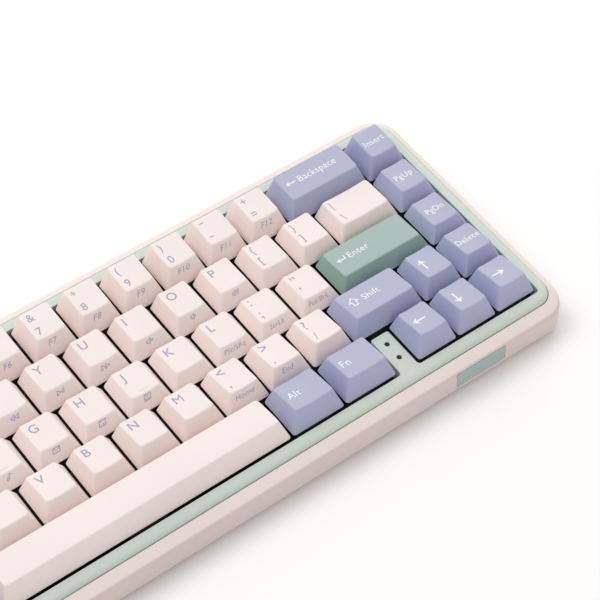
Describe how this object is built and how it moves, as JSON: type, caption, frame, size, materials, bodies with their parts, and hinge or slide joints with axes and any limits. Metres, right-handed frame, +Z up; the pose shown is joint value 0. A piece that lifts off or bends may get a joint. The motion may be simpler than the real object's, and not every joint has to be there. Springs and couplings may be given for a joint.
{
  "type": "mechanical keyboard",
  "caption": "Compact desk keyboard with sculpted keycaps that slide on sprung switches, a soft-edged case, a contrasting inner frame and two flip-out feet",
  "frame": {"origin": "centre of the footprint on the desk, under the rubber feet", "axes": "+X to the typist's right, +Y away from the typist, +Z up"},
  "size_m": [0.3236, 0.115, 0.0373],
  "materials": {
    "pink_caps": "fine matte grain, PBT",
    "blue_caps": "fine matte grain, PBT",
    "green_caps": "fine matte grain, PBT",
    "pink_case": "satin moulded plastic",
    "sage_frame": "satin moulded plastic",
    "sage_badge": "satin moulded plastic, blank",
    "black_plate": "black powder coat",
    "board": "matt black solder mask",
    "foam": "closed-cell foam",
    "milky_housing": "milky translucent plastic",
    "black_guides": "moulded plastic with a steel wire",
    "solder": "tinned",
    "steel_shell": "stamped steel",
    "lens": "smoked clear",
    "soft_rubber": "matt",
    "pink_feet": "satin moulded plastic",
    "screw_steel": "blackened"
  },
  "bodies": {
    "chassis": {"board_components": "solder", "case_screws": "screw_steel", "circuit_board": "board", "damping_layers": "foam", "front_badge": "sage_badge", "indicator_lenses": "lens", "inner_frame": "sage_frame", "lower_housings": "milky_housing", "outer_case": "pink_case", "rubber_feet": "soft_rubber", "stabilisers": "black_guides", "switch_plate": "black_plate", "upper_housings": "milky_housing", "usb_port": "steel_shell"},
    "key_0_body": {"key_0": "pink_caps"},
    "key_7_body": {"key_7": "pink_caps"},
    "key_8_body": {"key_8": "pink_caps"},
    "key_9_body": {"key_9": "pink_caps"},
    "key_arrow_down_body": {"key_arrow_down": "blue_caps"},
    "key_arrow_left_body": {"key_arrow_left": "blue_caps"},
    "key_arrow_right_body": {"key_arrow_right": "blue_caps"},
    "key_arrow_up_body": {"key_arrow_up": "blue_caps"},
    "key_b_body": {"key_b": "pink_caps"},
    "key_backslash_body": {"key_backslash": "pink_caps"},
    "key_backspace_body": {"key_backspace": "blue_caps"},
    "key_comma_body": {"key_comma": "pink_caps"},
    "key_delete_body": {"key_delete": "blue_caps"},
    "key_enter_body": {"key_enter": "green_caps"},
    "key_equals_body": {"key_equals": "pink_caps"},
    "key_full_stop_body": {"key_full_stop": "pink_caps"},
    "key_function_body": {"key_function": "blue_caps"},
    "key_g_body": {"key_g": "pink_caps"},
    "key_h_body": {"key_h": "pink_caps"},
    "key_i_body": {"key_i": "pink_caps"},
    "key_insert_body": {"key_insert": "blue_caps"},
    "key_j_body": {"key_j": "pink_caps"},
    "key_k_body": {"key_k": "pink_caps"},
    "key_l_body": {"key_l": "pink_caps"},
    "key_left_bracket_body": {"key_left_bracket": "pink_caps"},
    "key_m_body": {"key_m": "pink_caps"},
    "key_minus_body": {"key_minus": "pink_caps"},
    "key_n_body": {"key_n": "pink_caps"},
    "key_o_body": {"key_o": "pink_caps"},
    "key_p_body": {"key_p": "pink_caps"},
    "key_page_down_body": {"key_page_down": "blue_caps"},
    "key_page_up_body": {"key_page_up": "blue_caps"},
    "key_quote_body": {"key_quote": "pink_caps"},
    "key_right_alt_body": {"key_right_alt": "blue_caps"},
    "key_right_bracket_body": {"key_right_bracket": "pink_caps"},
    "key_right_shift_body": {"key_right_shift": "blue_caps"},
    "key_semicolon_body": {"key_semicolon": "pink_caps"},
    "key_slash_body": {"key_slash": "pink_caps"},
    "key_space_body": {"key_space": "pink_caps"},
    "key_u_body": {"key_u": "pink_caps"},
    "key_y_body": {"key_y": "pink_caps"},
    "left_letter_keys_body": {"left_letter_keys": "pink_caps"},
    "left_modifier_keys_body": {"left_modifier_keys": "blue_caps"},
    "left_number_keys_body": {"left_number_keys": "pink_caps"},
    "tilt_foot_left_body": {"tilt_foot_left": "pink_feet"},
    "tilt_foot_right_body": {"tilt_foot_right": "pink_feet"}
  },
  "joints": [
    {"name": "key_0_press", "type": "slide", "parent": "chassis", "child": "key_0_body", "axis": [0, -0.1219, 0.9925], "range_m": [-0.004, 0], "stiffness_N_per_m": 60, "springref_m": 0.006},
    {"name": "key_7_press", "type": "slide", "parent": "chassis", "child": "key_7_body", "axis": [0, -0.1219, 0.9925], "range_m": [-0.004, 0], "stiffness_N_per_m": 60, "springref_m": 0.006},
    {"name": "key_8_press", "type": "slide", "parent": "chassis", "child": "key_8_body", "axis": [0, -0.1219, 0.9925], "range_m": [-0.004, 0], "stiffness_N_per_m": 60, "springref_m": 0.006},
    {"name": "key_9_press", "type": "slide", "parent": "chassis", "child": "key_9_body", "axis": [0, -0.1219, 0.9925], "range_m": [-0.004, 0], "stiffness_N_per_m": 60, "springref_m": 0.006},
    {"name": "key_arrow_down_press", "type": "slide", "parent": "chassis", "child": "key_arrow_down_body", "axis": [0, -0.1219, 0.9925], "range_m": [-0.004, 0], "stiffness_N_per_m": 60, "springref_m": 0.006},
    {"name": "key_arrow_left_press", "type": "slide", "parent": "chassis", "child": "key_arrow_left_body", "axis": [0, -0.1219, 0.9925], "range_m": [-0.004, 0], "stiffness_N_per_m": 60, "springref_m": 0.006},
    {"name": "key_arrow_right_press", "type": "slide", "parent": "chassis", "child": "key_arrow_right_body", "axis": [0, -0.1219, 0.9925], "range_m": [-0.004, 0], "stiffness_N_per_m": 60, "springref_m": 0.006},
    {"name": "key_arrow_up_press", "type": "slide", "parent": "chassis", "child": "key_arrow_up_body", "axis": [0, -0.1219, 0.9925], "range_m": [-0.004, 0], "stiffness_N_per_m": 60, "springref_m": 0.006},
    {"name": "key_b_press", "type": "slide", "parent": "chassis", "child": "key_b_body", "axis": [0, -0.1219, 0.9925], "range_m": [-0.004, 0], "stiffness_N_per_m": 60, "springref_m": 0.006},
    {"name": "key_backslash_press", "type": "slide", "parent": "chassis", "child": "key_backslash_body", "axis": [0, -0.1219, 0.9925], "range_m": [-0.004, 0], "stiffness_N_per_m": 60, "springref_m": 0.006},
    {"name": "key_backspace_press", "type": "slide", "parent": "chassis", "child": "key_backspace_body", "axis": [0, -0.1219, 0.9925], "range_m": [-0.004, 0], "stiffness_N_per_m": 60, "springref_m": 0.006},
    {"name": "key_comma_press", "type": "slide", "parent": "chassis", "child": "key_comma_body", "axis": [0, -0.1219, 0.9925], "range_m": [-0.004, 0], "stiffness_N_per_m": 60, "springref_m": 0.006},
    {"name": "key_delete_press", "type": "slide", "parent": "chassis", "child": "key_delete_body", "axis": [0, -0.1219, 0.9925], "range_m": [-0.004, 0], "stiffness_N_per_m": 60, "springref_m": 0.006},
    {"name": "key_enter_press", "type": "slide", "parent": "chassis", "child": "key_enter_body", "axis": [0, -0.1219, 0.9925], "range_m": [-0.004, 0], "stiffness_N_per_m": 60, "springref_m": 0.006},
    {"name": "key_equals_press", "type": "slide", "parent": "chassis", "child": "key_equals_body", "axis": [0, -0.1219, 0.9925], "range_m": [-0.004, 0], "stiffness_N_per_m": 60, "springref_m": 0.006},
    {"name": "key_full_stop_press", "type": "slide", "parent": "chassis", "child": "key_full_stop_body", "axis": [0, -0.1219, 0.9925], "range_m": [-0.004, 0], "stiffness_N_per_m": 60, "springref_m": 0.006},
    {"name": "key_function_press", "type": "slide", "parent": "chassis", "child": "key_function_body", "axis": [0, -0.1219, 0.9925], "range_m": [-0.004, 0], "stiffness_N_per_m": 60, "springref_m": 0.006},
    {"name": "key_g_press", "type": "slide", "parent": "chassis", "child": "key_g_body", "axis": [0, -0.1219, 0.9925], "range_m": [-0.004, 0], "stiffness_N_per_m": 60, "springref_m": 0.006},
    {"name": "key_h_press", "type": "slide", "parent": "chassis", "child": "key_h_body", "axis": [0, -0.1219, 0.9925], "range_m": [-0.004, 0], "stiffness_N_per_m": 60, "springref_m": 0.006},
    {"name": "key_i_press", "type": "slide", "parent": "chassis", "child": "key_i_body", "axis": [0, -0.1219, 0.9925], "range_m": [-0.004, 0], "stiffness_N_per_m": 60, "springref_m": 0.006},
    {"name": "key_insert_press", "type": "slide", "parent": "chassis", "child": "key_insert_body", "axis": [0, -0.1219, 0.9925], "range_m": [-0.004, 0], "stiffness_N_per_m": 60, "springref_m": 0.006},
    {"name": "key_j_press", "type": "slide", "parent": "chassis", "child": "key_j_body", "axis": [0, -0.1219, 0.9925], "range_m": [-0.004, 0], "stiffness_N_per_m": 60, "springref_m": 0.006},
    {"name": "key_k_press", "type": "slide", "parent": "chassis", "child": "key_k_body", "axis": [0, -0.1219, 0.9925], "range_m": [-0.004, 0], "stiffness_N_per_m": 60, "springref_m": 0.006},
    {"name": "key_l_press", "type": "slide", "parent": "chassis", "child": "key_l_body", "axis": [0, -0.1219, 0.9925], "range_m": [-0.004, 0], "stiffness_N_per_m": 60, "springref_m": 0.006},
    {"name": "key_left_bracket_press", "type": "slide", "parent": "chassis", "child": "key_left_bracket_body", "axis": [0, -0.1219, 0.9925], "range_m": [-0.004, 0], "stiffness_N_per_m": 60, "springref_m": 0.006},
    {"name": "key_m_press", "type": "slide", "parent": "chassis", "child": "key_m_body", "axis": [0, -0.1219, 0.9925], "range_m": [-0.004, 0], "stiffness_N_per_m": 60, "springref_m": 0.006},
    {"name": "key_minus_press", "type": "slide", "parent": "chassis", "child": "key_minus_body", "axis": [0, -0.1219, 0.9925], "range_m": [-0.004, 0], "stiffness_N_per_m": 60, "springref_m": 0.006},
    {"name": "key_n_press", "type": "slide", "parent": "chassis", "child": "key_n_body", "axis": [0, -0.1219, 0.9925], "range_m": [-0.004, 0], "stiffness_N_per_m": 60, "springref_m": 0.006},
    {"name": "key_o_press", "type": "slide", "parent": "chassis", "child": "key_o_body", "axis": [0, -0.1219, 0.9925], "range_m": [-0.004, 0], "stiffness_N_per_m": 60, "springref_m": 0.006},
    {"name": "key_p_press", "type": "slide", "parent": "chassis", "child": "key_p_body", "axis": [0, -0.1219, 0.9925], "range_m": [-0.004, 0], "stiffness_N_per_m": 60, "springref_m": 0.006},
    {"name": "key_page_down_press", "type": "slide", "parent": "chassis", "child": "key_page_down_body", "axis": [0, -0.1219, 0.9925], "range_m": [-0.004, 0], "stiffness_N_per_m": 60, "springref_m": 0.006},
    {"name": "key_page_up_press", "type": "slide", "parent": "chassis", "child": "key_page_up_body", "axis": [0, -0.1219, 0.9925], "range_m": [-0.004, 0], "stiffness_N_per_m": 60, "springref_m": 0.006},
    {"name": "key_quote_press", "type": "slide", "parent": "chassis", "child": "key_quote_body", "axis": [0, -0.1219, 0.9925], "range_m": [-0.004, 0], "stiffness_N_per_m": 60, "springref_m": 0.006},
    {"name": "key_right_alt_press", "type": "slide", "parent": "chassis", "child": "key_right_alt_body", "axis": [0, -0.1219, 0.9925], "range_m": [-0.004, 0], "stiffness_N_per_m": 60, "springref_m": 0.006},
    {"name": "key_right_bracket_press", "type": "slide", "parent": "chassis", "child": "key_right_bracket_body", "axis": [0, -0.1219, 0.9925], "range_m": [-0.004, 0], "stiffness_N_per_m": 60, "springref_m": 0.006},
    {"name": "key_right_shift_press", "type": "slide", "parent": "chassis", "child": "key_right_shift_body", "axis": [0, -0.1219, 0.9925], "range_m": [-0.004, 0], "stiffness_N_per_m": 60, "springref_m": 0.006},
    {"name": "key_semicolon_press", "type": "slide", "parent": "chassis", "child": "key_semicolon_body", "axis": [0, -0.1219, 0.9925], "range_m": [-0.004, 0], "stiffness_N_per_m": 60, "springref_m": 0.006},
    {"name": "key_slash_press", "type": "slide", "parent": "chassis", "child": "key_slash_body", "axis": [0, -0.1219, 0.9925], "range_m": [-0.004, 0], "stiffness_N_per_m": 60, "springref_m": 0.006},
    {"name": "key_space_press", "type": "slide", "parent": "chassis", "child": "key_space_body", "axis": [0, -0.1219, 0.9925], "range_m": [-0.004, 0], "stiffness_N_per_m": 60, "springref_m": 0.006},
    {"name": "key_u_press", "type": "slide", "parent": "chassis", "child": "key_u_body", "axis": [0, -0.1219, 0.9925], "range_m": [-0.004, 0], "stiffness_N_per_m": 60, "springref_m": 0.006},
    {"name": "key_y_press", "type": "slide", "parent": "chassis", "child": "key_y_body", "axis": [0, -0.1219, 0.9925], "range_m": [-0.004, 0], "stiffness_N_per_m": 60, "springref_m": 0.006},
    {"name": "left_letter_keys_press", "type": "slide", "parent": "chassis", "child": "left_letter_keys_body", "axis": [0, -0.1219, 0.9925], "range_m": [-0.004, 0], "stiffness_N_per_m": 780, "springref_m": 0.006},
    {"name": "left_modifier_keys_press", "type": "slide", "parent": "chassis", "child": "left_modifier_keys_body", "axis": [0, -0.1219, 0.9925], "range_m": [-0.004, 0], "stiffness_N_per_m": 360, "springref_m": 0.006},
    {"name": "left_number_keys_press", "type": "slide", "parent": "chassis", "child": "left_number_keys_body", "axis": [0, -0.1219, 0.9925], "range_m": [-0.004, 0], "stiffness_N_per_m": 420, "springref_m": 0.006},
    {"name": "tilt_foot_left_hinge", "type": "hinge", "parent": "chassis", "child": "tilt_foot_left_body", "pos_m": [-0.112, 0.02, 0.00355], "axis": [1, 0, 0], "range_deg": [-105, 0]},
    {"name": "tilt_foot_right_hinge", "type": "hinge", "parent": "chassis", "child": "tilt_foot_right_body", "pos_m": [0.112, 0.02, 0.00355], "axis": [1, 0, 0], "range_deg": [-105, 0]}
  ]
}
